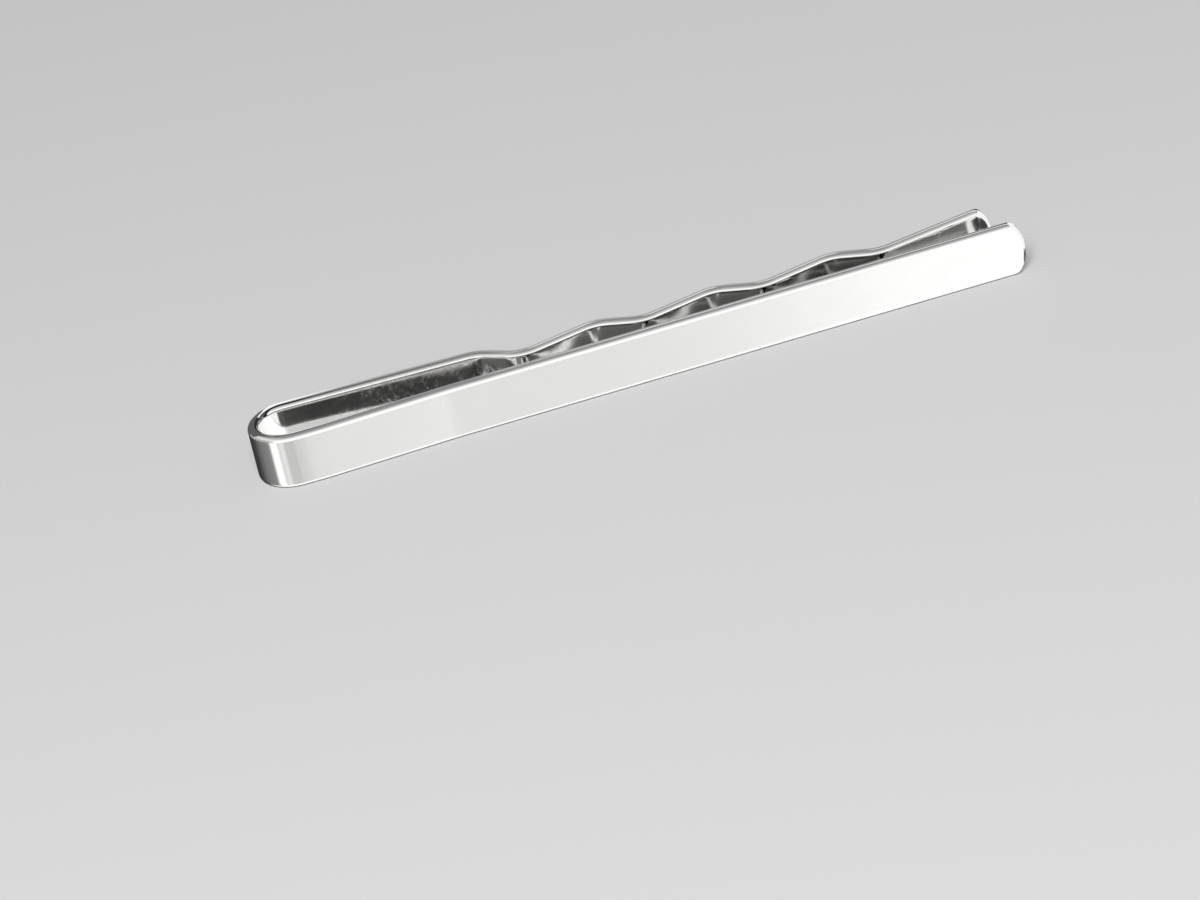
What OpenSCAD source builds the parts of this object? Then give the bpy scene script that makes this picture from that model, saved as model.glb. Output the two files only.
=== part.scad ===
// Tie clip bent from one strip of silver: a flat front bar, a round fold that
// is the spring, and a sprung leg with three waves that grip the cloth.
// The clip stands on its long edge. X runs from the fold to the open end,
// Y from the front bar to the leg, and Z across the width of the strip.

/* [Strip] */
// Width of the strip
strip_width = 4; // [3:0.1:6]
// Thickness of the strip
strip_thickness = 0.8; // [0.65:0.05:1]
// Rounding along the long edges
edge_radius = 0.3; // [0.1:0.01:0.32]

/* [Clip] */
// Length over the fold and the tip of the bar
clip_length = 55; // [50:0.5:70]
// Outer radius of the fold
fold_radius = 2.76; // [2.4:0.02:3.6]

/* [Front bar] */
// Angle at which the bar leaves the fold, still opening away from the leg
bar_lead_angle = 2.5; // [1:0.1:3.5]
// Straight run before the bar's first gentle bend
bar_lead_run = 0.3; // [0.1:0.1:1]
// Angle at which the bar's toe then closes in on its own line
bar_toe_angle = 2.05; // [1:0.05:3]
// Straight run of the toe
bar_toe_run = 8.2; // [6:0.1:14]
// Radius of the two gentle bends before and after the toe
bar_bend_radius = 27; // [15:1:60]

/* [Sprung leg] */
// Slope of the leg's straight run towards the bar
leg_slope = 2.7; // [1.5:0.1:3.5]
// How far the leg's tip stays behind the tip of the bar
leg_setback = 1.35; // [0.5:0.05:3]
// Centre radius of every bend in the leg
bend_radius = 2.6; // [1.8:0.1:3]
// Straight run down the first dip
dip_run = 1.5; // [0.8:0.1:3]

/* [Waves] */
// Number of waves
wave_count = 3; // [2:1:4]
// Distance from valley to valley
wave_pitch = 8.52; // [7:0.02:9]
// Angle at which a wave rises towards the tip
rise_angle = 14.5; // [10:0.5:20]
// Angle at which a wave falls towards the tip
fall_angle = 24.9; // [16:0.1:30]
// Gap between the bar and the first valley
first_gap = 1.26; // [0.8:0.02:1.6]
// Gap between the bar and the last valley
last_gap = 1; // [0.6:0.02:1.4]

/* [Tips] */
// Angle at which the leg's tip flares away from the bar
flare_angle = 12.1; // [8:0.1:18]
// Distance from the last valley to the leg's tip
flare_reach = 8.2; // [5:0.1:10]
// Radius of the arc that ends each tip, seen from the front
tip_arc_radius = 3; // [2.6:0.1:6]
// Rounding of the rim at each tip
tip_rim_radius = 0.15; // [0.05:0.01:0.3]

/* [Hidden] */
$fn = 96;

// The places of turned shapes are kept to six digits, too few for the ends of
// the stretches of strip to meet. So they are set out and joined at this share
// of their size, and then enlarged.
drawing_share = 0.01;

mid_z = strip_width / 2;
half_thickness = strip_thickness / 2;

// The fold's axis lies midway between its two outer sides, on Y = 0.
fold_x = fold_radius - clip_length / 2;
fold_centre_radius = fold_radius - half_thickness;
fold_sweep = 180 - bar_lead_angle + leg_slope;

// The bar leads out of the fold, bends back along its toe, and then bends to X.
bar_start_x = fold_x - fold_centre_radius * sin(bar_lead_angle);
bar_start_y = -fold_centre_radius * cos(bar_lead_angle);
lead_x = bar_lead_run * cos(bar_lead_angle) + bar_bend_radius * sin(bar_lead_angle);
lead_y = bar_bend_radius * (1 - cos(bar_lead_angle)) + bar_lead_run * sin(bar_lead_angle);
toe_x = bar_toe_run * cos(bar_toe_angle) + 2 * bar_bend_radius * sin(bar_toe_angle);
toe_y = bar_toe_run * sin(bar_toe_angle) + 2 * bar_bend_radius * (1 - cos(bar_toe_angle));
bar_y = bar_start_y - lead_y + toe_y;
bar_run = clip_length / 2 - bar_start_x - lead_x - toe_x;
bar_path = [[bar_lead_run, -bar_lead_angle], [bar_toe_run, bar_toe_angle], [bar_run, 0]];

// The leg's tip and its valleys are set out from the open end.
leg_start_x = fold_x + fold_centre_radius * sin(leg_slope);
leg_start_y = fold_centre_radius * cos(leg_slope);
leg_tip_x = clip_length / 2 - leg_setback;
last_valley_x = leg_tip_x - flare_reach;
first_valley_x = last_valley_x - wave_count * wave_pitch;
first_valley_y = bar_y + strip_thickness + first_gap;
flare_run = (flare_reach - bend_radius * sin(flare_angle)) / cos(flare_angle);

// One wave: the two straight runs that, with its bends, close the pitch and
// step down by the narrowing of the gap.
gap_step = (first_gap - last_gap) / wave_count;
wave_bend_x = 2 * bend_radius * (sin(rise_angle) + sin(fall_angle));
wave_bend_y = 2 * bend_radius * (cos(fall_angle) - cos(rise_angle));
wave_x = wave_pitch - wave_bend_x;
wave_y = -gap_step - wave_bend_y;
wave_turn = rise_angle + fall_angle;
rise_run = (wave_x * sin(fall_angle) + wave_y * cos(fall_angle)) / sin(wave_turn);
fall_run = (wave_x * sin(rise_angle) - wave_y * cos(rise_angle)) / sin(wave_turn);

// The dip: how steep it has to be to come down from the leg's straight run to
// the first valley, measured square to that run, and what it takes of its length.
valley_dx = first_valley_x - leg_start_x;
valley_dy = leg_start_y - first_valley_y;
dip_drop = valley_dy * cos(leg_slope) - valley_dx * sin(leg_slope);
dip_along = valley_dx * cos(leg_slope) + valley_dy * sin(leg_slope);
dip_lean = atan2(2 * bend_radius, dip_run);
dip_reach = sqrt(pow(2 * bend_radius, 2) + pow(dip_run, 2));
dip_turn = dip_lean + asin((dip_drop - bend_radius * (1 + cos(leg_slope))) / dip_reach);
dip_taken = bend_radius * (2 * sin(dip_turn) + sin(leg_slope)) + dip_run * cos(dip_turn);
leg_run = dip_along - dip_taken;

leg_path = [
    [leg_run, -leg_slope],
    [dip_run, -leg_slope - dip_turn],
    for (wave = [1:wave_count]) each [[rise_run, rise_angle], [fall_run, -fall_angle]],
    [flare_run, flare_angle]
];

// Cross-section of the strip, thickness along X and width along Y.
module strip_section() {
    core_thickness = strip_thickness - 2 * edge_radius;
    core_width = strip_width - 2 * edge_radius;
    square([strip_thickness, core_width], center = true);
    square([core_thickness, strip_width], center = true);
    for (side = [-1, 1], edge = [-1, 1])
        translate([side * core_thickness / 2, edge * core_width / 2])
            circle(r = edge_radius);
}

// A straight stretch of strip at its real size, from the origin along X.
module straight(run) {
    rotate([90, 0, 90])
        linear_extrude(height = run)
            strip_section();
}

// A bend at its real size. It starts at the origin along X and turns left.
module left_bend(radius, turn) {
    translate([0, radius, 0])
        rotate(-90)
            rotate_extrude(angle = turn)
                translate([radius, 0])
                    strip_section();
}

// The same to either side: a positive turn is to the left.
module bend(radius, turn) {
    if (turn > 0) left_bend(radius, turn);
    else mirror([0, 1, 0]) left_bend(radius, -turn);
}

// Places its children where a bend of the drawing ends.
module past_bend(radius, turn) {
    centre_y = sign(turn) * radius * drawing_share;
    translate([0, centre_y, 0])
        rotate(turn)
            translate([0, -centre_y, 0])
                children();
}

// The drawing of a strip along straight runs, each with its own heading, joined
// by bends. It starts along X, and the last run ends in a rounded tip.
module strip_drawing(path, radius, i = 0) {
    run = path[i][0];
    if (i == len(path) - 1)
        scale(drawing_share) tip(run);
    else {
        turn = path[i + 1][1] - path[i][1];
        scale(drawing_share) straight(run);
        translate([run * drawing_share, 0, 0]) {
            scale(drawing_share) bend(radius, turn);
            past_bend(radius, turn) strip_drawing(path, radius, i + 1);
        }
    }
}

// The same strip at its real size, placed where and as its first run starts.
module bent_strip(path, radius, start) {
    translate(start)
        rotate(path[0][1])
            scale(1 / drawing_share)
                strip_drawing(path, radius);
}

// A last straight run whose end is an arc across the width, with a rounded rim.
module tip(run) {
    arc_x = run - tip_arc_radius;
    disc_core = strip_thickness - 2 * tip_rim_radius;
    intersection() {
        straight(run);
        union() {
            translate([0, -strip_thickness, -strip_width])
                cube([arc_x, 2 * strip_thickness, 2 * strip_width]);
            translate([arc_x, 0, 0])
                rotate([90, 0, 0])
                    rotate_extrude()
                        disc_profile(tip_arc_radius, disc_core);
        }
    }
}

// Half of the section through a disc with a round rim.
module disc_profile(radius, core) {
    rim_centre = radius - tip_rim_radius;
    translate([0, -strip_thickness / 2]) square([rim_centre, strip_thickness]);
    translate([0, -core / 2]) square([radius, core]);
    for (side = [-1, 1])
        translate([rim_centre, side * core / 2])
            circle(r = tip_rim_radius);
}

module front_bar() {
    color("gainsboro")
        bent_strip(bar_path, bar_bend_radius, [bar_start_x, bar_start_y, mid_z]);
}

module fold_bend() {
    color("silver")
        translate([fold_x, 0, mid_z])
            rotate(90 - leg_slope)
                rotate_extrude(angle = fold_sweep)
                    translate([fold_centre_radius, 0])
                        strip_section();
}

module spring_leg() {
    color("lightgray")
        bent_strip(leg_path, bend_radius, [leg_start_x, leg_start_y, mid_z]);
}

front_bar();
fold_bend();
spring_leg();
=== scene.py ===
from math import asin, atan2, cos, degrees, hypot, pi, radians, sin, sqrt

import bmesh
import bpy
from mathutils import Matrix, Vector

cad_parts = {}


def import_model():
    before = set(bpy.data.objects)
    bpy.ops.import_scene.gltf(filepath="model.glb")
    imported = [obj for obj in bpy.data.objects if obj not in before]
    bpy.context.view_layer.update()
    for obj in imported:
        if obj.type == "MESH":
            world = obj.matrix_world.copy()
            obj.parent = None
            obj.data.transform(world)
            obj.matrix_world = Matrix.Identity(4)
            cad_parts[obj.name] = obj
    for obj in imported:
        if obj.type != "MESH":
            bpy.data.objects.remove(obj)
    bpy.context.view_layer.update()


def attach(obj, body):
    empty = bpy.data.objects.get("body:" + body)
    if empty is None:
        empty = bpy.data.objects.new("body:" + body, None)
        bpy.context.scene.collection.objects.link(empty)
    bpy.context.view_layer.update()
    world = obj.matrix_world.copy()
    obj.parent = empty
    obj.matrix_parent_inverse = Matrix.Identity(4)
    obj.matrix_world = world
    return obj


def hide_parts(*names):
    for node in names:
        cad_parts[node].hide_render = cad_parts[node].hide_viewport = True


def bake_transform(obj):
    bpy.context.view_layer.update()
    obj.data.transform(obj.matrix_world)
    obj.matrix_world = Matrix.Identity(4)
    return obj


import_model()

MM = 0.001

# The driving sizes of the clip, in millimetres and degrees, as the part's source
# has them. X runs from the fold to the open end, Y from the bar to the leg and Z
# across the width of the strip.
STRIP_WIDTH = 4
STRIP_THICKNESS = 0.8
CLIP_LENGTH = 55
FOLD_RADIUS = 2.76
BAR_LEAD_ANGLE = 2.5
BAR_LEAD_RUN = 0.3
BAR_TOE_ANGLE = 2.05
BAR_TOE_RUN = 8.2
BAR_BEND_RADIUS = 27
LEG_SLOPE = 2.7
LEG_SETBACK = 1.35
LEG_BEND_RADIUS = 2.6
DIP_RUN = 1.5
WAVE_COUNT = 3
WAVE_PITCH = 8.52
RISE_ANGLE = 14.5
FALL_ANGLE = 24.9
FIRST_GAP = 1.26
LAST_GAP = 1
FLARE_ANGLE = 12.1
FLARE_REACH = 8.2
TIP_ARC_RADIUS = 3

# The buffing leaves the edges a little rounder than they are cut.
EDGE_RADIUS = 0.37
TIP_RIM_RADIUS = 0.28

MID_WIDTH = STRIP_WIDTH / 2
FOLD_CENTRE = Vector((FOLD_RADIUS - CLIP_LENGTH / 2, 0, 0))
FOLD_MID_RADIUS = FOLD_RADIUS - STRIP_THICKNESS / 2
FOLD_TURN = 180 - BAR_LEAD_ANGLE + LEG_SLOPE

# How finely the strip is cut.
ROUNDING_STEPS = 8
WIDTH_STEPS = 20
RIM_STEPS = 5
DEGREES_PER_STEP = 1.5
FEWEST_STEPS = 6
SAME_POINT = 1e-7


# The plan. A path is a list of straight runs, each with its length and its heading
# in degrees from X towards Y, and the bends between them have one radius.

def heading_vector(heading):
    return Vector((cos(radians(heading)), sin(radians(heading)), 0))


def to_bend_centre(heading, radius, turn):
    """From the strip's middle line to the centre of a bend, a positive turn being left."""
    return heading_vector(heading + 90) * (radius if turn > 0 else -radius)


def past_bend(heading, radius, turn):
    """How far a bend takes the middle line."""
    to_centre = to_bend_centre(heading, radius, turn)
    return to_centre - Matrix.Rotation(radians(turn), 3, "Z") @ to_centre


def reach(path, radius):
    """How far a path takes the middle line."""
    total = heading_vector(path[0][1]) * path[0][0]
    for (_, heading), (length, next_heading) in zip(path, path[1:]):
        total += past_bend(heading, radius, next_heading - heading)
        total += heading_vector(next_heading) * length
    return total


def bar_plan():
    start = FOLD_CENTRE + heading_vector(-90 - BAR_LEAD_ANGLE) * FOLD_MID_RADIUS
    curved = [(BAR_LEAD_RUN, -BAR_LEAD_ANGLE), (BAR_TOE_RUN, BAR_TOE_ANGLE)]
    corner = start + reach([*curved, (0, 0)], BAR_BEND_RADIUS)
    return start, [*curved, (CLIP_LENGTH / 2 - corner.x, 0)], corner.y


def wave_runs():
    """The rise and the fall that, with their bends, close the pitch and narrow the gap."""
    bends = reach([(0, RISE_ANGLE), (0, -FALL_ANGLE), (0, RISE_ANGLE)], LEG_BEND_RADIUS)
    step = Vector((WAVE_PITCH, (LAST_GAP - FIRST_GAP) / WAVE_COUNT, 0)) - bends
    rise, fall = heading_vector(RISE_ANGLE), heading_vector(-FALL_ANGLE)
    turn = rise.cross(fall).z
    return [(step.cross(fall).z / turn, RISE_ANGLE), (rise.cross(step).z / turn, -FALL_ANGLE)]


def leg_plan(bar_y):
    start = FOLD_CENTRE + heading_vector(90 - LEG_SLOPE) * FOLD_MID_RADIUS
    first_valley = Vector((CLIP_LENGTH / 2 - LEG_SETBACK - FLARE_REACH - WAVE_COUNT * WAVE_PITCH,
                           bar_y + STRIP_THICKNESS + FIRST_GAP, 0))
    # How steep the dip has to be, measured square to the straight run before it.
    across = heading_vector(-90 - LEG_SLOPE)
    drop = (first_valley - start).dot(across)
    lean = degrees(atan2(2 * LEG_BEND_RADIUS, DIP_RUN))
    fallen = drop - LEG_BEND_RADIUS * (1 + cos(radians(LEG_SLOPE)))
    dip_turn = lean + degrees(asin(fallen / hypot(2 * LEG_BEND_RADIUS, DIP_RUN)))
    dip = [(DIP_RUN, -LEG_SLOPE - dip_turn), (0, 0)]
    to_valley = first_valley - start - reach([(0, -LEG_SLOPE), *dip], LEG_BEND_RADIUS)
    flare_run = FLARE_REACH - LEG_BEND_RADIUS * sin(radians(FLARE_ANGLE))
    return start, [(to_valley.length, -LEG_SLOPE), dip[0], *wave_runs() * WAVE_COUNT,
                   (flare_run / cos(radians(FLARE_ANGLE)), FLARE_ANGLE)]


# The strip

def with_edges(faces):
    """The faces with their edges and corners, as the operators want them."""
    edges = {edge for face in faces for edge in face.edges}
    verts = {vert for face in faces for vert in face.verts}
    return [*faces, *edges, *verts]


def rim_of(faces):
    """The edges round the outside of a patch of faces."""
    edges = {edge for face in faces for edge in face.edges}
    return [edge for edge in edges if sum(face in faces for face in edge.link_faces) == 1]


def strip_section(bm, place, heading, inner_side):
    """The strip's section as a patch of faces, its thickness across the heading.

    Each corner notes how far it lies towards the slot, from -1 to 1, and hands
    that on to all that is drawn from it. The inner side is 1 to the left, -1 to
    the right of the heading.
    """
    towards_slot = bm.verts.layers.float.new("towards_slot")
    bmesh.ops.create_grid(bm, x_segments=1, y_segments=1, size=0.5 * MM)
    bmesh.ops.scale(bm, vec=(STRIP_WIDTH, STRIP_THICKNESS, 1), verts=bm.verts)
    bmesh.ops.bevel(
        bm, geom=bm.verts[:], offset=EDGE_RADIUS * MM, offset_type="OFFSET",
        segments=ROUNDING_STEPS, profile=0.5, affect="VERTICES",
        clamp_overlap=False, material=-1)
    flat_width = (STRIP_WIDTH - 2 * EDGE_RADIUS) * MM
    for step in range(WIDTH_STEPS + 1):
        bmesh.ops.bisect_plane(
            bm, geom=bm.faces[:] + bm.edges[:] + bm.verts[:], dist=SAME_POINT,
            plane_co=((step / WIDTH_STEPS - 0.5) * flat_width, 0, 0), plane_no=(1, 0, 0))
    for vert in bm.verts:
        vert[towards_slot] = inner_side * vert.co.y / (STRIP_THICKNESS / 2 * MM)
    upright = Matrix.Rotation(-pi / 2, 4, "Y")
    turned = Matrix.Rotation(radians(heading), 4, "Z")
    placed = Matrix.Translation((place + Vector((0, 0, MID_WIDTH))) * MM)
    bmesh.ops.transform(bm, matrix=placed @ turned @ upright, verts=bm.verts)
    return bm.faces[:]


def straight(bm, end, heading, length):
    """Draws the strip's end on along a straight run and returns its new end."""
    grown = bmesh.ops.extrude_face_region(bm, geom=with_edges(end))["geom"]
    bmesh.ops.translate(bm, vec=heading_vector(heading) * length * MM,
                        verts=[part for part in grown if isinstance(part, bmesh.types.BMVert)])
    return [part for part in grown if isinstance(part, bmesh.types.BMFace)]


def bend(bm, end, centre, turn):
    """Draws the strip's end on round a bend, a positive turn being to the left."""
    spun = bmesh.ops.spin(
        bm, geom=with_edges(end), cent=centre * MM, axis=(0, 0, 1),
        angle=radians(turn), steps=max(FEWEST_STEPS, round(abs(turn) / DEGREES_PER_STEP)))
    return [part for part in spun["geom_last"] if isinstance(part, bmesh.types.BMFace)]


def tip(bm, end, heading, length):
    """A last straight run that ends in an arc across the width, with a rounded rim."""
    rim_length = 2 * TIP_RIM_RADIUS
    end = straight(bm, end, heading, length - rim_length)
    for vert in {vert for face in end for vert in face.verts}:
        off_middle = vert.co.z / MM - MID_WIDTH
        short = TIP_ARC_RADIUS - sqrt(TIP_ARC_RADIUS ** 2 - off_middle ** 2)
        vert.co -= heading_vector(heading) * short * MM
    end = straight(bm, end, heading, rim_length)
    bmesh.ops.bevel(
        bm, geom=rim_of(end), offset=TIP_RIM_RADIUS * MM, offset_type="OFFSET",
        segments=RIM_STEPS, profile=0.5, affect="EDGES", clamp_overlap=False, material=-1)


def finished(bm, name, cuts=()):
    """A smooth object of the mesh. At its cuts the strip's shading stops square."""
    bmesh.ops.recalc_face_normals(bm, faces=bm.faces)
    for face in bm.faces:
        face.smooth = True
    for cut in cuts:
        for edge in rim_of(cut):
            edge.smooth = False
    mesh = bpy.data.meshes.new(name)
    bm.to_mesh(mesh)
    bm.free()
    piece = bpy.data.objects.new(name, mesh)
    bpy.context.scene.collection.objects.link(piece)
    return piece


def tipped_strip(name, start, path, radius, inner_side):
    """A strip along a path, cut square at its start and with a tip at its end."""
    bm = bmesh.new()
    cut = strip_section(bm, start, path[0][1], inner_side)
    end, here = cut, start.copy()
    for (length, heading), (_, next_heading) in zip(path, path[1:]):
        turn = next_heading - heading
        end = straight(bm, end, heading, length)
        here += heading_vector(heading) * length
        end = bend(bm, end, here + to_bend_centre(heading, radius, turn), turn)
        here += past_bend(heading, radius, turn)
    tip(bm, end, path[-1][1], path[-1][0])
    return finished(bm, name, [cut])


def folded_strip(name, bar_start):
    """The half turn of strip that joins the bar to the leg."""
    bm = bmesh.new()
    bar_cut = strip_section(bm, bar_start, -BAR_LEAD_ANGLE, 1)
    leg_cut = bend(bm, bar_cut, FOLD_CENTRE, -FOLD_TURN)
    return finished(bm, name, [bar_cut, leg_cut])


# Shader nodes

def add(tree, kind, sockets=None, **settings):
    """Adds a node. Each of its sockets gets a number, a colour or another's output."""
    node = tree.nodes.new(kind)
    for name, value in settings.items():
        setattr(node, name, value)
    for name, source in (sockets or {}).items():
        if isinstance(source, bpy.types.NodeSocket):
            tree.links.new(source, node.inputs[name])
        else:
            node.inputs[name].default_value = source
    return node


def math(tree, operation, *values):
    return add(tree, "ShaderNodeMath", dict(enumerate(values)), operation=operation).outputs[0]


def spread(tree, value, low, high, to_low=0, to_high=1, curve="LINEAR"):
    """Maps a value from one range to another, and holds it inside."""
    return add(tree, "ShaderNodeMapRange", {
        "Value": value, "From Min": low, "From Max": high,
        "To Min": to_low, "To Max": to_high}, interpolation_type=curve).outputs[0]


def mixed(tree, share, first, second):
    """A mix of two colours."""
    node = add(tree, "ShaderNodeMix", {0: share}, data_type="RGBA")
    for name, source in (("A_Color", first), ("B_Color", second)):
        socket = next(i for i in node.inputs if i.identifier == name)
        if isinstance(source, bpy.types.NodeSocket):
            tree.links.new(source, socket)
        else:
            socket.default_value = source
    return next(o for o in node.outputs if o.identifier == "Result_Color")


def grey(brightness):
    return (brightness, brightness, brightness, 1)


def grey_ramp(tree, value, stops):
    """A ramp of greys, each stop being a place from 0 to 1 and a brightness."""
    ramp = add(tree, "ShaderNodeValToRGB", {"Fac": value})
    elements = ramp.color_ramp.elements
    while len(elements) < len(stops):
        elements.new(1)
    for element, (place, brightness) in zip(elements, stops):
        element.position = place
        element.color = grey(brightness)
    return ramp.outputs["Color"]


def noise(tree, place, stretch, detail, roughness):
    """Noise from 0 to 1, its grain given per millimetre along X, Y and Z."""
    scaled = add(tree, "ShaderNodeMapping", {
        "Vector": place, "Scale": tuple(grain / MM for grain in stretch)}).outputs[0]
    return add(tree, "ShaderNodeTexNoise", {
        "Vector": scaled, "Scale": 1, "Detail": detail, "Roughness": roughness}).outputs[0]


def along_clip(tree):
    """The place along X, in metres."""
    place = add(tree, "ShaderNodeTexCoord").outputs["Object"]
    return add(tree, "ShaderNodeSeparateXYZ", {0: place}).outputs[0]


def new_material(name):
    material = bpy.data.materials.new(name)
    material.use_nodes = True
    return material


# Finishes. A grain is in waves per millimetre along X, Y and Z, and a lustre is a
# roughness, 0 being a perfect mirror. Marks say where in its noise a mark begins and
# where it is full.
BUFFING_GRAIN = (0.1, 0.1, 9)
BUFFING_MARKS = (0.3, 0.7)
BUFFING_LUSTRE = (0.03, 0.075)
CLOUD_GRAIN = (0.45, 0.45, 0.6)
CLOUD_MARKS = (0.45, 0.75)
CLOUD_LUSTRE = (0, 0.03)
CLOUD_TINT_MARKS = (0.35, 0.7)

# Where the slot's side of the strip begins and where it is full, as shares of the way
# from the middle of its thickness to its face.
SLOT_SIDE = (0.7, 0.97)
MOTTLING_GRAIN = (2.6, 2.6, 1.9)
MOTTLING_MARKS = (0.45, 0.72)
SPECK_GRAIN = (5, 5, 5)
SPECK_MARKS = (0.62, 0.7)
SLOT_LUSTRE = (0.07, 0.24)
DUST_LUSTRE = 0.25

# Along X, in millimetres, the haze is full round one place and thins to both sides.
HAZE_MIDDLE = -15
HAZE_FULL_WITHIN = 2
HAZE_THIN_BEYOND = 9
THIN_HAZE = 0.2

CLEAN_SILVER = (0.93, 0.928, 0.92, 1)
CLOUDED_SILVER = (0.915, 0.91, 0.9, 1)
TARNISHED_SILVER = (0.78, 0.765, 0.74, 1)
RELIEF_DEPTH = 0.02
RELIEF_STRENGTH = 0.02


def outer_lustre(tree, buffing, clouds):
    """The outside's roughness, which the lines of the buffing and soft clouds change."""
    return math(tree, "ADD", spread(tree, buffing, *BUFFING_MARKS, *BUFFING_LUSTRE),
                spread(tree, clouds, *CLOUD_MARKS, *CLOUD_LUSTRE))


def slot_haze(tree, mottling):
    """How hazy the slot's polish is: in patches, and most where the leg runs straight."""
    off_middle = math(tree, "ABSOLUTE",
                      math(tree, "SUBTRACT", along_clip(tree), HAZE_MIDDLE * MM))
    mid_run = spread(tree, off_middle, HAZE_THIN_BEYOND * MM, HAZE_FULL_WITHIN * MM,
                     THIN_HAZE, 1, "SMOOTHSTEP")
    return math(tree, "MULTIPLY", spread(tree, mottling, *MOTTLING_MARKS), mid_run)


def inner_lustre(tree, place, haze):
    """The roughness inside the slot, from its haze and the specks of dust in it."""
    specks = noise(tree, place, SPECK_GRAIN, detail=2, roughness=0.5)
    dust = math(tree, "MULTIPLY", spread(tree, specks, *SPECK_MARKS), haze)
    return math(tree, "ADD", spread(tree, haze, 0, 1, *SLOT_LUSTRE),
                math(tree, "MULTIPLY", dust, DUST_LUSTRE))


def silver(name):
    """Polished silver, with the lustre of its last buffing and a hazier slot side."""
    material = new_material(name)
    tree = material.node_tree
    shader = tree.nodes["Principled BSDF"]
    shader.inputs["Metallic"].default_value = 1
    place = add(tree, "ShaderNodeTexCoord").outputs["Object"]
    towards_slot = add(tree, "ShaderNodeAttribute", attribute_name="towards_slot").outputs["Fac"]
    slot_side = spread(tree, towards_slot, *SLOT_SIDE)

    # The buffing runs along the strip, so its lines change mainly across the width.
    buffing = noise(tree, place, BUFFING_GRAIN, detail=4, roughness=0.6)
    clouds = noise(tree, place, CLOUD_GRAIN, detail=3, roughness=0.55)
    mottling = noise(tree, place, MOTTLING_GRAIN, detail=5, roughness=0.65)
    haze = slot_haze(tree, mottling)
    lustre = add(tree, "ShaderNodeMix", {
        0: slot_side, 2: outer_lustre(tree, buffing, clouds), 3: inner_lustre(tree, place, haze)})
    tree.links.new(lustre.outputs[0], shader.inputs["Roughness"])

    # The haze has a breath of warm tarnish.
    clean = mixed(tree, spread(tree, clouds, *CLOUD_TINT_MARKS), CLEAN_SILVER, CLOUDED_SILVER)
    hazy_slot = math(tree, "MULTIPLY", slot_side, haze)
    tree.links.new(mixed(tree, hazy_slot, clean, TARNISHED_SILVER), shader.inputs["Base Color"])

    relief = math(tree, "ADD", buffing, math(tree, "MULTIPLY", slot_side, mottling))
    bump = add(tree, "ShaderNodeBump", {
        "Height": relief, "Strength": RELIEF_STRENGTH, "Distance": RELIEF_DEPTH * MM})
    tree.links.new(bump.outputs[0], shader.inputs["Normal"])
    return material


# One pale grey serves the floor and what the camera sees behind it.
PALE_GREY = 0.6
FLOOR_ROUGHNESS = 0.9


def matt_floor(name):
    material = new_material(name)
    shader = material.node_tree.nodes["Principled BSDF"]
    shader.inputs["Base Color"].default_value = grey(PALE_GREY)
    shader.inputs["Roughness"].default_value = FLOOR_ROUGHNESS
    return material


def glowing(material, light):
    """Makes a material give off its own light only, a colour or a node's output."""
    tree = material.node_tree
    emission = add(tree, "ShaderNodeEmission", {"Color": light})
    tree.links.new(emission.outputs[0], tree.nodes["Material Output"].inputs["Surface"])


def plain_glow(name, brightness):
    material = new_material(name)
    glowing(material, grey(brightness))
    return material


def glowing_card_ramp(name, stops):
    """A glowing card for painted reflections, its brightness changing along X, from stops in
    millimetres.
    """
    material = new_material(name)
    tree = material.node_tree
    share = spread(tree, along_clip(tree), -CLIP_LENGTH * MM, CLIP_LENGTH * MM)
    glowing(material, grey_ramp(tree, share, [
        ((x / CLIP_LENGTH + 1) / 2, brightness) for x, brightness in stops]))
    return material


# The painted light that the metal shows on a glowing sheet under the waves, along X in
# millimetres. Its pattern starts at one place, repeats with the waves and dims towards the
# open end. Each of its stops is a share of a wave's pitch and a brightness.
GLOW_START = -6.6
GLOW_IN_WAVE = [
    (0.1, 0.12), (0.3, 0.12), (0.44, 0.15), (0.5, 0.9), (0.535, 0.9), (0.563, 0.27),
    (0.6, 0.14), (0.66, 0.11), (0.8, 0.1)]
GLOW_FADES_FROM = -2
GLOW_FADES_TO = 16
GLOW_SHARES = (1.1, 0.3)


def shade_between(name):
    """Painted reflection of a dim glow under the waves, brightest below each steep fall."""
    material = new_material(name)
    tree = material.node_tree
    along = along_clip(tree)
    past_start = math(tree, "SUBTRACT", along, GLOW_START * MM)
    waves_on = math(tree, "DIVIDE", past_start, WAVE_PITCH * MM)
    glow = grey_ramp(tree, math(tree, "FRACT", waves_on), GLOW_IN_WAVE)
    fading = spread(tree, along, GLOW_FADES_FROM * MM, GLOW_FADES_TO * MM, *GLOW_SHARES)
    glowing(material, mixed(tree, fading, grey(0), glow))
    return material


# The clip

def clip():
    bar_start, bar_path, bar_y = bar_plan()
    leg_start, leg_path = leg_plan(bar_y)
    bar = tipped_strip("front_bar_strip", bar_start, bar_path, BAR_BEND_RADIUS, 1)
    leg = tipped_strip("spring_leg_strip", leg_start, leg_path, LEG_BEND_RADIUS, -1)
    fold = folded_strip("fold_bend_strip", bar_start)
    for piece, node, slot in ((bar, "front_bar", "front_silver"),
                              (fold, "fold_bend", "fold_silver"),
                              (leg, "spring_leg", "leg_silver")):
        piece.data.materials.append(silver(slot))
        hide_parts(node)
    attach(bar, "bar")
    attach(leg, "leg")
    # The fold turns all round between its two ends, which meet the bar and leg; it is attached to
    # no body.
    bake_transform(fold)


clip()


# The studio

# The floor reaches this far to each side, in metres.
FLOOR_REACH = 2


def floor():
    bm = bmesh.new()
    bmesh.ops.create_grid(bm, x_segments=1, y_segments=1, size=FLOOR_REACH)
    plate = finished(bm, "floor")
    plate.data.materials.append(matt_floor("floor_matt"))
    plate.visible_glossy = False


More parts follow.
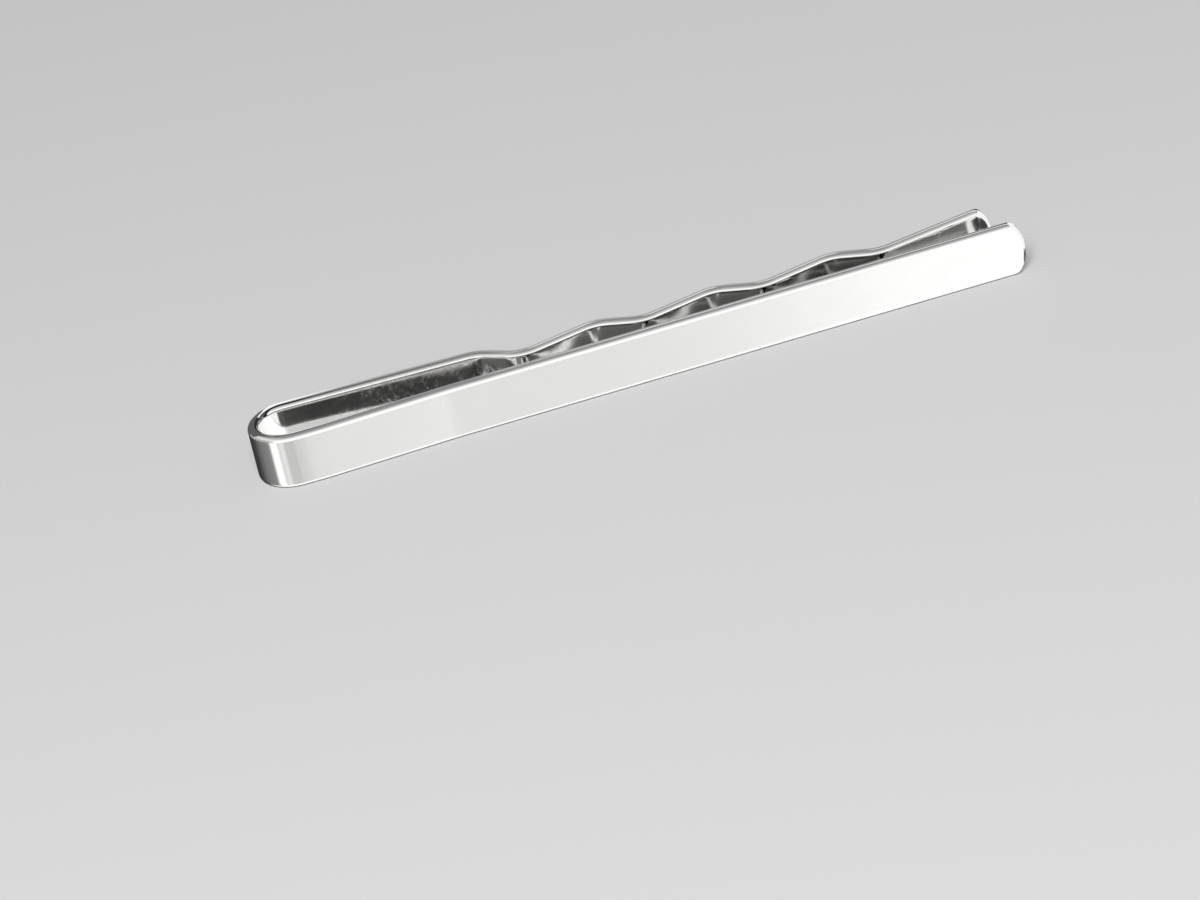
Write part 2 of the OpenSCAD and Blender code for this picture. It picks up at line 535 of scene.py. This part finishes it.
def mirrored_only(name, corners, material):
    """A flat glowing sheet, its corners in millimetres, that only the polished metal shows: a
    painted reflection.
    """
    bm = bmesh.new()
    bm.faces.new([bm.verts.new(Vector(corner) * MM) for corner in corners])
    card = finished(bm, name)
    card.data.materials.append(material)
    card.visible_camera = card.visible_diffuse = card.visible_shadow = False


# Glowing patches just below the clip, which only the metal shows, are painted shade and one
# painted glint. Where two patches meet, their border is written once, as places along X and Y in
# millimetres.
PAINTED_PATCH_LEVEL = -0.02
UNDER_FLARE = [(23.75, -1.9), (24.55, -1), (25.35, -0.17), (25.95, 0.45)]
BEHIND_FLARE = [(27.6, 0.8), (27.1, 1), (26.65, 1.15), (26.2, 1.4), (24.8, 1.4)]
UNDER_TIP = (27.75, 0.45)
BEFORE_GLINT = (27.35, -0.15)
BEHIND_GLINT = [(28.03, 0.81), (29, 2.16), (29.8, 3.4)]
PAST_GLINT = [(27.95, -0.15), (28.28, 0.4), (28.81, 1.24), (29.5, 1.95), (30.05, 2.3)]
PAINTED_WAVES_PATCH = [(-7.4, -1.9), (17.6, -1.9), (17.6, 1), (-7.4, 1)]
# Each plain patch's name, the name and brightness of its material, and its outline.
PAINTED_REFLECTION_PATCHES = [
    ("shade_under_dip", "shade_deep", 0.05,
     [(-16.3, -1.9), (-14.4, -1.9), (-14.4, -1.2), (-16.3, -1.2)]),
    ("shade_before_flare", "shade_light", 0.34,
     [(20.4, -1.9), *UNDER_FLARE, UNDER_TIP, *BEHIND_FLARE, (22, 0.4), (20.4, 0.4)]),
    ("shade_under_flare", "shade_middle", 0.16,
     [(27.6, -1.9), BEFORE_GLINT, UNDER_TIP, *reversed(UNDER_FLARE)]),
    ("shade_past_flare", "shade_behind", 0.15,
     [*reversed(BEHIND_FLARE), UNDER_TIP, *BEHIND_GLINT, (27, 3.2)]),
    ("glint_off_tip", "glint_white", 1,
     [BEFORE_GLINT, *PAST_GLINT, (31, 3.4), *reversed(BEHIND_GLINT), UNDER_TIP]),
    ("shade_off_tip", "shade_dark", 0.05,
     [(28.1, -2.5), (29.9, -2.5), (30.7, -1.2), (30.7, 2.95), *reversed(PAST_GLINT)]),
    ("shade_past_tip", "shade_darker", 0.055,
     [(28.35, -2.7), (29.6, -2.6), (30.6, -3.3), (30.75, -4.7), (29.6, -4.8), (28.9, -4.1),
      (28.35, -3.45)]),
]


def shade():
    """Painted shade and a painted glint that the metal shows under the slot and off the open end.
    """
    mirrored_only("shade_under_waves", [(x, y, PAINTED_PATCH_LEVEL) for x, y in PAINTED_WAVES_PATCH],
                  shade_between("shade_between"))
    for name, material_name, brightness, outline in PAINTED_REFLECTION_PATCHES:
        mirrored_only(name, [(x, y, PAINTED_PATCH_LEVEL) for x, y in outline],
                      plain_glow(material_name, brightness))


# Small glowing cards close to the clip, in millimetres, which only the metal shows: painted
# reflections. Three stand square to Y, with outlines along X and Z, one lies flat above the
# fold and leg, and one stands off the open end. Two of them change in brightness along X.
BEHIND_CLIP = 3.2
WHITE_CARD = [(-25.9, 4.35), (26, 4.35), (26, 6), (-10, 6), (-15, 5.2), (-25.9, 5.2)]
WHITE_CARD_ALONG = [
    (-24.3, 1), (-23, 0.72), (-20.5, 0.47), (-14, 0.42), (-11, 0.34), (-6, 0.5), (0, 0.4),
    (12, 0.47), (20, 0.36)]
GREY_CARD = [(-34, 4.05), (-26, 4.05), (-26, 9), (-34, 9)]
GREY_CARD_BRIGHTNESS = 0.115
OVER_FOLD = 1.3
BLACK_CARD = [(-26.6, 4.03), (-25.2, 4.03), (-25.2, 4.6), (-26.6, 4.6)]
BLACK_CARD_BRIGHTNESS = 0.03
OVERHEAD = 8
OVERHEAD_CARD = [(-26.2, 1.2), (-7, 1.2), (-7, 4), (-26.2, 4)]
OVERHEAD_CARD_ALONG = [
    (-24.2, 0.01), (-23.2, 0.03), (-22.2, 0.1), (-20.5, 0.14), (-16, 0.16), (-11, 0.24),
    (-9.5, 0.45), (-8, 0.5), (-7, 0.3)]
OFF_END = 29.5
END_CARD = [(-6, 0.6), (-3.75, 0.6), (-3.1, 0.95), (-2.4, 1.25), (5, 1.35), (5, 8), (-6, 8)]


def near_cards():
    """The small glowing cards, painted reflections whose edges show in the polished rims and the
    fold.
    """
    mirrored_only("white_card", [(x, BEHIND_CLIP, z) for x, z in WHITE_CARD],
                  glowing_card_ramp("card_white", WHITE_CARD_ALONG))
    mirrored_only("grey_card", [(x, BEHIND_CLIP, z) for x, z in GREY_CARD],
                  plain_glow("card_grey", GREY_CARD_BRIGHTNESS))
    mirrored_only("black_card", [(x, OVER_FOLD, z) for x, z in BLACK_CARD],
                  plain_glow("card_black", BLACK_CARD_BRIGHTNESS))
    mirrored_only("overhead_card", [(x, y, OVERHEAD) for x, y in OVERHEAD_CARD],
                  glowing_card_ramp("card_overhead", OVERHEAD_CARD_ALONG))
    mirrored_only("end_card", [(OFF_END, y, z) for y, z in END_CARD],
                  plain_glow("card_end", 1))


# The lamp, in metres and watts.
LAMP_WIDTH = 0.28
LAMP_POWER = 3.5
LAMP_PLACE = (-0.12, -0.42, 0.45)


def lamp():
    data = bpy.data.lights.new("soft_lamp", "AREA")
    data.shape = "DISK"
    data.size = LAMP_WIDTH
    data.energy = LAMP_POWER
    soft = bpy.data.objects.new("soft_lamp", data)
    soft.location = LAMP_PLACE
    soft.rotation_euler = (-soft.location).to_track_quat("-Z", "Y").to_euler()
    soft.visible_glossy = False
    bpy.context.scene.collection.objects.link(soft)


# What polished metal mirrors of the studio. A bearing is in degrees round the clip,
# 0 being in front of it, 90 past its open end and -90 past its fold, and a height is
# in degrees above the horizon. A brightness of 1 is that of the white cards.
CARD_LIGHT = 1.11
LOW_RING = [
    (-180, 0.045), (-166, 0.03), (-134, 0.05), (-104, 0.175), (-82, 0.22), (-75.5, 0.27),
    (-67.5, 1), (-52, 1), (-48.5, 0.69), (-42, 0.69), (-38, 0.79), (-32, 0.68), (-27, 0.54),
    (-2.9, 0.53), (2.2, 0.715), (9.4, 0.742), (12.9, 1), (152, 1), (155.5, 0.1),
    (168, 0.095), (177.5, 0.052)]
RING_BY_HEIGHT = [(-50, 0), (-40, 1), (-22, 1), (-15, 0)]
FRONT_BY_HEIGHT = [
    (-90, 0.8), (-75, 1), (20, 1), (30, 0.85), (45, 0.62), (60, 0.45), (75, 0.3), (90, 0.25)]
BACK_BY_HEIGHT = [
    (-90, 0.1), (-55, 0.04), (-30, 0.06), (-20, 0.35), (-8, 0.4), (8, 0.4), (20, 0.35),
    (28, 0.33), (42, 0.27), (66, 0.24), (90, 0.25)]
FOLD_SIDE_BY_HEIGHT = [
    (-90, 1), (-45, 0.9), (-30, 0.2), (-14, 0.31), (0, 0.41), (18, 0.5), (28, 0.68),
    (38, 0.8), (50, 0.6), (72, 0.35), (90, 0.25)]
# How far back a ray points where the front gives way to the back, 1 being straight back.
FRONT_TO_BACK = (-0.1, 0.35)
# Each card's bearing and width, its height and how tall it is, its softness and brightness.
CARDS = [
    (-96, 72, 0, 220, 36, FOLD_SIDE_BY_HEIGHT),
    (-156, 34, 9, 50, 8, 0.085),
    (177.3, 3.6, 4, 40, 1, 1),
    (137, 62, 13, 50, 5, 0.06),
    (86, 40, 24, 66, 4, 0.01),
    (128, 38, 49, 14, 3, 1),
    (157, 26, 48, 12, 3, 1),
]
# The even light that falls on the matt floor.
SOFT_LIGHT = 0.45


def by_height(stops):
    return [((sin(radians(height)) + 1) / 2, brightness) for height, brightness in stops]


def window(tree, distance, width, softness):
    """1 within half the width of the middle, and 0 beyond a soft edge."""
    return spread(tree, distance, (width + softness) / 2, (width - softness) / 2,
                  curve="SMOOTHSTEP")


def with_card(tree, studio, azimuth, degrees_up, height, card):
    """The mirrored studio with one more soft-edged card in front of it."""
    bearing, width, level, tall, softness, brightness = card
    off_bearing = math(tree, "SUBTRACT", azimuth, radians(bearing))
    around = math(tree, "DEGREES", math(tree, "ARCCOSINE", math(tree, "COSINE", off_bearing)))
    above = math(tree, "ABSOLUTE", math(tree, "SUBTRACT", degrees_up, level))
    share = math(tree, "MULTIPLY", window(tree, around, width, softness),
                 window(tree, above, tall, softness))
    if isinstance(brightness, list):
        light = grey_ramp(tree, height, by_height(brightness))
    else:
        light = grey(brightness)
    return mixed(tree, share, studio, light)


def mirrored_studio(tree):
    """The light that the polished metal mirrors from each direction."""
    direction = add(tree, "ShaderNodeTexCoord").outputs["Generated"]
    to_right, to_back, upwards = add(tree, "ShaderNodeSeparateXYZ", {0: direction}).outputs
    azimuth = math(tree, "ARCTAN2", to_right, math(tree, "MULTIPLY", to_back, -1))
    height = spread(tree, upwards, -1, 1)
    degrees_up = math(tree, "DEGREES", math(tree, "ARCSINE", upwards))
    studio = mixed(tree, spread(tree, to_back, *FRONT_TO_BACK),
                   grey_ramp(tree, height, by_height(FRONT_BY_HEIGHT)),
                   grey_ramp(tree, height, by_height(BACK_BY_HEIGHT)))
    for card in CARDS:
        studio = with_card(tree, studio, azimuth, degrees_up, height, card)
    low_ring = grey_ramp(tree, spread(tree, azimuth, -pi, pi),
                         [(bearing / 360 + 0.5, brightness) for bearing, brightness in LOW_RING])
    return mixed(tree, grey_ramp(tree, height, by_height(RING_BY_HEIGHT)), studio, low_ring)


def world():
    """Mirrored rays meet the studio, the floor soft light, and the camera a pale grey."""
    surroundings = bpy.data.worlds.new("studio")
    surroundings.use_nodes = True
    tree = surroundings.node_tree
    ray = add(tree, "ShaderNodeLightPath").outputs
    soft = mixed(tree, ray["Is Glossy Ray"], grey(SOFT_LIGHT), mirrored_studio(tree))
    seen = mixed(tree, ray["Is Camera Ray"], soft, grey(PALE_GREY))
    strength = spread(tree, ray["Is Glossy Ray"], 0, 1, 1, CARD_LIGHT)
    light = tree.nodes["Background"]
    tree.links.new(seen, light.inputs["Color"])
    tree.links.new(strength, light.inputs["Strength"])
    bpy.context.scene.world = surroundings


floor()
shade()
near_cards()
lamp()
world()


# The camera, in millimetres and degrees. Its azimuth, height and roll are round the
# target, and then it pans and tilts to the frame of the photograph.
CAMERA_LENS = 142.04
CAMERA_SENSOR = 36
CAMERA_TARGET = Vector((-0.5, -0.469, 2))
CAMERA_DISTANCE = 325
CAMERA_AZIMUTH = -8.705
CAMERA_HEIGHT = 27.722
CAMERA_ROLL = 12.175
CAMERA_PAN = 0.4
CAMERA_TILT = -1.242


def camera():
    data = bpy.data.cameras.new("camera")
    data.lens = CAMERA_LENS
    data.sensor_width = CAMERA_SENSOR
    data.clip_start = 0.01
    data.clip_end = 20
    eye = bpy.data.objects.new("camera", data)
    azimuth, height = radians(CAMERA_AZIMUTH), radians(CAMERA_HEIGHT)
    to_eye = Vector((sin(azimuth) * cos(height), -cos(azimuth) * cos(height), sin(height)))
    level = Vector((cos(azimuth), sin(azimuth), 0))
    upright = Matrix((level, to_eye.cross(level), to_eye)).transposed()
    rolled = Matrix.Rotation(-radians(CAMERA_ROLL), 3, "Z")
    panned = Matrix.Rotation(radians(CAMERA_PAN), 3, "Y")
    tilted = Matrix.Rotation(radians(CAMERA_TILT), 3, "X")
    place = CAMERA_TARGET * MM + to_eye * CAMERA_DISTANCE * MM
    turned = upright @ rolled @ (panned @ tilted)
    eye.matrix_world = Matrix.Translation(place) @ turned.to_4x4()
    bpy.context.scene.collection.objects.link(eye)
    bpy.context.scene.camera = eye


camera()
bpy.context.scene.view_settings.view_transform = "Standard"
